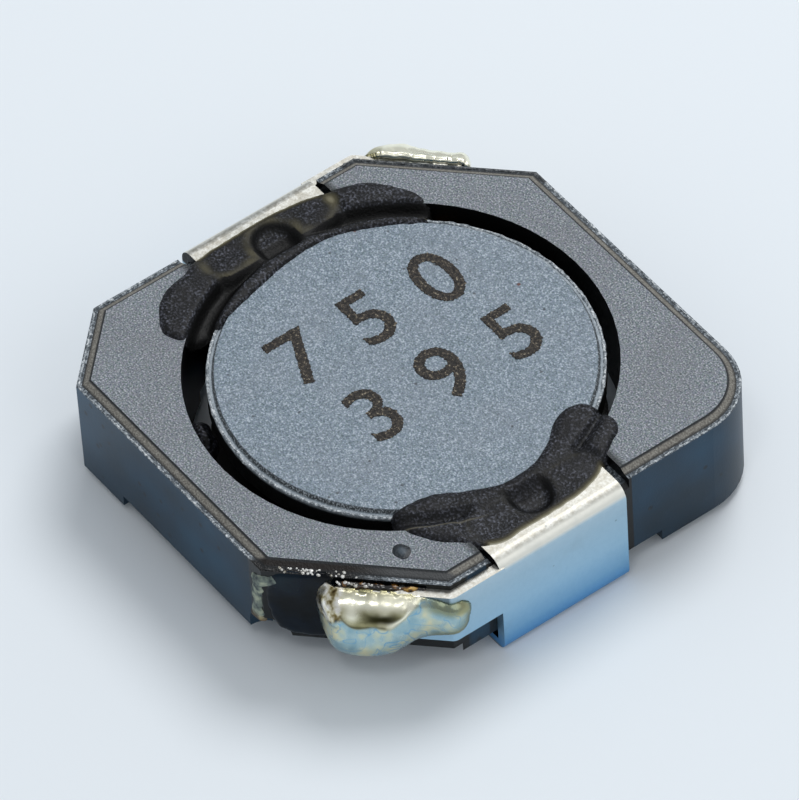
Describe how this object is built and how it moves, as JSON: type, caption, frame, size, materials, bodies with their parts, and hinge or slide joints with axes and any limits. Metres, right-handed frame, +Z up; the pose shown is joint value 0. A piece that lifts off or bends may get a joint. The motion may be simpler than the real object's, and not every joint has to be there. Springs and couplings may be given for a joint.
{
  "type": "shielded surface-mount inductor",
  "caption": "Shielded surface-mount power inductor: a wound ferrite drum inside a ferrite ring with cut corners, folded tinned terminals, soldered wire ends and epoxy beads.",
  "frame": {"origin": "middle of the footprint, on the plane of the two solder pads", "axes": "+Z up from the board, +X out of the front terminal's face, Y along that face"},
  "size_m": [0.01, 0.01, 0.0026],
  "materials": {
    "ring_ferrite": "pressed and sintered ferrite, matt grey with fine bright grains",
    "drum_ferrite": "ground ferrite, matt bluish grey",
    "enamelled_copper": "round copper wire with clear enamel",
    "tinned_sheet": "bright tin plate on copper alloy sheet",
    "solder": "bright hand-soldered joint with a trace of rosin",
    "epoxy": "dark filled epoxy with a glistening skin"
  },
  "bodies": {
    "root": {"shield_core": "ring_ferrite", "drum_core": "drum_ferrite", "winding": "enamelled_copper", "terminal_front": "tinned_sheet", "terminal_back": "tinned_sheet", "solder_front": "solder", "solder_back": "solder", "adhesive_front": "epoxy", "adhesive_back": "epoxy", "adhesive_gap": "epoxy", "adhesive_drop": "epoxy"}
  },
  "joints": []
}
